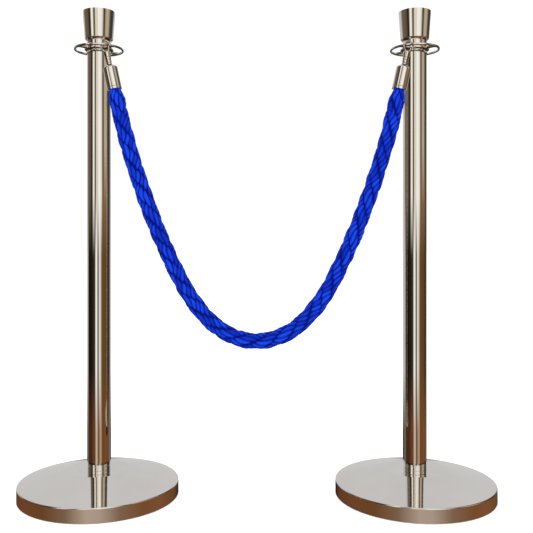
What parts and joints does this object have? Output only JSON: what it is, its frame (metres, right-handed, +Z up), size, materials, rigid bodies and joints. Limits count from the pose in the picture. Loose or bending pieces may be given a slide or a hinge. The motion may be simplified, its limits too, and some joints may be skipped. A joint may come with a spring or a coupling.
{
  "type": "rope barrier post set",
  "caption": "Free-standing polished crowd-control posts on weighted round bases, with a blue laid rope hung between their slotted rings by snap hooks.",
  "frame": {"origin": "on the floor, midway between the two posts' axes", "axes": "+X from the left post to the right post as seen from the front, -Y towards the front, where the rope hangs, +Z up"},
  "size_m": [0.96, 0.32, 0.981],
  "materials": {
    "polished_stainless": "mirror polished stainless steel",
    "hook_chrome": "bright chrome plate",
    "cast_iron": "black painted casting",
    "rubber": "matte moulded rubber",
    "zinc_plated_steel": "zinc plated",
    "turned_aluminium": "turned",
    "spring_steel": "spring wire",
    "blue_rope": "laid satin polyester rope"
  },
  "bodies": {
    "left_post": {"left_base_cover": "polished_stainless", "left_base_weight": "cast_iron", "left_base_floor_ring": "rubber", "left_base_stud": "zinc_plated_steel", "left_base_washer": "zinc_plated_steel", "left_base_nut": "zinc_plated_steel", "left_foot_collar": "polished_stainless", "left_post_tube": "polished_stainless", "left_head_plug": "turned_aluminium", "left_rope_ring": "polished_stainless", "left_neck_collar": "polished_stainless", "left_crown": "polished_stainless", "left_crown_lid": "polished_stainless", "left_head_stud": "zinc_plated_steel", "left_head_nut": "zinc_plated_steel"},
    "right_post": {"right_base_cover": "polished_stainless", "right_base_weight": "cast_iron", "right_base_floor_ring": "rubber", "right_base_stud": "zinc_plated_steel", "right_base_washer": "zinc_plated_steel", "right_base_nut": "zinc_plated_steel", "right_foot_collar": "polished_stainless", "right_post_tube": "polished_stainless", "right_head_plug": "turned_aluminium", "right_rope_ring": "polished_stainless", "right_neck_collar": "polished_stainless", "right_crown": "polished_stainless", "right_crown_lid": "polished_stainless", "right_head_stud": "zinc_plated_steel", "right_head_nut": "zinc_plated_steel"},
    "rope_left_end": {"rope": "blue_rope", "left_ferrule": "hook_chrome", "left_ferrule_screw": "zinc_plated_steel"},
    "rope_right_end": {"right_ferrule": "hook_chrome", "right_ferrule_screw": "zinc_plated_steel"},
    "left_hook": {"left_hook_body": "hook_chrome", "left_swivel_stud": "zinc_plated_steel", "left_gate_pin": "zinc_plated_steel", "left_gate_spring": "spring_steel"},
    "left_gate": {"left_hook_gate": "hook_chrome"},
    "right_hook": {"right_hook_body": "hook_chrome", "right_swivel_stud": "zinc_plated_steel", "right_gate_pin": "zinc_plated_steel", "right_gate_spring": "spring_steel"},
    "right_gate": {"right_hook_gate": "hook_chrome"}
  },
  "joints": [
    {"name": "post_spacing", "type": "slide", "parent": "left_post", "child": "right_post", "axis": [1, 0, 0], "range_m": [-0.2, 0.1]},
    {"name": "rope_swing", "type": "hinge", "parent": "left_post", "child": "rope_left_end", "pos_m": [-0.299, -0.0426, 0.9011], "axis": [-1, 0, 0], "range_deg": [-15, 40]},
    {"name": "rope_span", "type": "slide", "parent": "rope_left_end", "child": "rope_right_end", "axis": [1, 0, 0], "range_m": [-0.2, 0.1], "deforming": ["rope"]},
    {"name": "left_hook_swivel", "type": "hinge", "parent": "rope_left_end", "child": "left_hook", "pos_m": [-0.299, -0.0426, 0.9011], "axis": [-0.2079, 0, 0.9781], "range_deg": [-80, 5]},
    {"name": "left_gate_pivot", "type": "hinge", "parent": "left_hook", "child": "left_gate", "pos_m": [-0.29182, -0.04407, 0.88729], "axis": [-0.3265, -0.9426, -0.0694], "range_deg": [0, 25], "stiffness_Nm_per_rad": 0.01, "springref_deg": -22.92, "deforming": ["left_gate_spring"]},
    {"name": "right_hook_swivel", "type": "hinge", "parent": "rope_right_end", "child": "right_hook", "pos_m": [0.299, -0.0426, 0.9011], "axis": [0.2079, 0, 0.9781], "range_deg": [-5, 80]},
    {"name": "right_gate_pivot", "type": "hinge", "parent": "right_hook", "child": "right_gate", "pos_m": [0.29994, -0.04113, 0.88557], "axis": [0.3265, -0.9426, -0.0694], "range_deg": [0, 25], "stiffness_Nm_per_rad": 0.01, "springref_deg": -22.92, "deforming": ["right_gate_spring"]}
  ],
  "couplings": [
    {"joint": "rope_span", "follows": "post_spacing", "ratio": 1}
  ]
}
